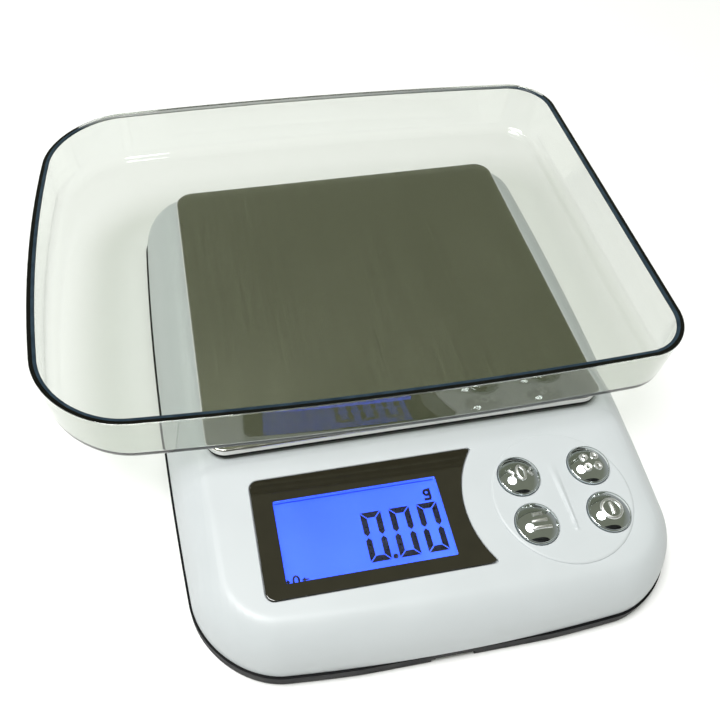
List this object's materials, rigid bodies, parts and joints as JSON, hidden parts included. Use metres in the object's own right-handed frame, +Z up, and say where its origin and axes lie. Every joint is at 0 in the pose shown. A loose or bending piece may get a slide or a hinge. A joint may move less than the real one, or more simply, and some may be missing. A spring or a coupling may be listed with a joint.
{
  "type": "digital gram scale",
  "caption": "Bench gram scale: a clear lift-off tray on a brushed steel platform over a load cell, in a low white case with a blue backlit display and chrome buttons.",
  "frame": {"origin": "middle of the bounding box, at the underside of the feet", "axes": "+X to the right along the front edge, +Y to the back, +Z up"},
  "size_m": [0.2064, 0.2112, 0.0524],
  "materials": {
    "clear_plastic": "clear moulded acrylic, polished",
    "brushed_steel": "brushed along the depth",
    "black_plastic": "fine moulded texture",
    "white_plastic": "pearl gloss",
    "smoked_lens": "polished dark acrylic with a clear window",
    "lcd_glass": "backlit blue liquid crystal glass",
    "backlight": "light guide",
    "rubber": "matte rubber",
    "chrome": "polished chrome plating",
    "aluminium": "machined",
    "steel_screw": "zinc plated",
    "circuit_board": "green solder mask",
    "sealant": "off-white",
    "battery_sleeve": "printed sleeve with no marks",
    "contact_metal": "nickel plated",
    "lead_sleeve": "wire insulation"
  },
  "bodies": {
    "case": {"bottom_housing": "black_plastic", "switch_tare": "black_plastic", "switch_units": "black_plastic", "switch_count": "black_plastic", "switch_power": "black_plastic", "top_housing": "white_plastic", "display_lens": "smoked_lens", "lcd_panel": "lcd_glass", "lcd_backlight": "backlight", "lcd_connector": "rubber", "foot_front_left": "rubber", "foot_front_right": "rubber", "foot_back_left": "rubber", "foot_back_right": "rubber", "load_cell": "aluminium", "load_cell_base_spacer": "aluminium", "cell_screw_left": "steel_screw", "cell_screw_right": "steel_screw", "overload_stop": "steel_screw", "board_screw_back": "steel_screw", "board_screw_front": "steel_screw", "case_screw_front_left": "steel_screw", "case_screw_front_right": "steel_screw", "case_screw_back_left": "steel_screw", "case_screw_back_right": "steel_screw", "main_board": "circuit_board", "strain_gauge_cover": "sealant", "cell_lead_socket": "sealant", "battery_lead_socket": "sealant", "battery_front": "battery_sleeve", "battery_back": "battery_sleeve", "contact_negative": "contact_metal", "contact_positive": "contact_metal", "contact_bridge": "contact_metal", "spring_left": "contact_metal", "spring_right": "contact_metal", "load_cell_lead": "lead_sleeve", "battery_lead": "lead_sleeve"},
    "platform": {"platform_plate": "brushed_steel", "platform_carrier": "black_plastic", "load_cell_top_spacer": "aluminium", "carrier_screw_left": "steel_screw", "carrier_screw_right": "steel_screw"},
    "tray": {"tray": "clear_plastic"},
    "button_tare": {"button_tare": "chrome", "plunger_tare": "black_plastic"},
    "button_units": {"button_units": "chrome", "plunger_units": "black_plastic"},
    "button_count": {"button_count": "chrome", "plunger_count": "black_plastic"},
    "button_power": {"button_power": "chrome", "plunger_power": "black_plastic"},
    "battery_door": {"battery_door": "black_plastic"}
  },
  "joints": [
    {"name": "platform_press", "type": "slide", "parent": "case", "child": "platform", "axis": [0, 0, 1], "range_m": [-0.0008, 0], "stiffness_N_per_m": 40000, "springref_m": 0.00006, "deforming": ["load_cell"]},
    {"name": "tray_lift", "type": "slide", "parent": "platform", "child": "tray", "axis": [0, 0, 1], "range_m": [0, 0.08]},
    {"name": "press_tare", "type": "slide", "parent": "case", "child": "button_tare", "axis": [0, -0.0349, 0.9994], "range_m": [-0.0006, 0], "stiffness_N_per_m": 2000},
    {"name": "press_units", "type": "slide", "parent": "case", "child": "button_units", "axis": [0, -0.0349, 0.9994], "range_m": [-0.0006, 0], "stiffness_N_per_m": 2000},
    {"name": "press_count", "type": "slide", "parent": "case", "child": "button_count", "axis": [0, -0.0349, 0.9994], "range_m": [-0.0006, 0], "stiffness_N_per_m": 2000},
    {"name": "press_power", "type": "slide", "parent": "case", "child": "button_power", "axis": [0, -0.0349, 0.9994], "range_m": [-0.0006, 0], "stiffness_N_per_m": 2000},
    {"name": "battery_door_slide", "type": "slide", "parent": "case", "child": "battery_door", "axis": [0, 1, 0], "range_m": [0, 0.04]}
  ]
}
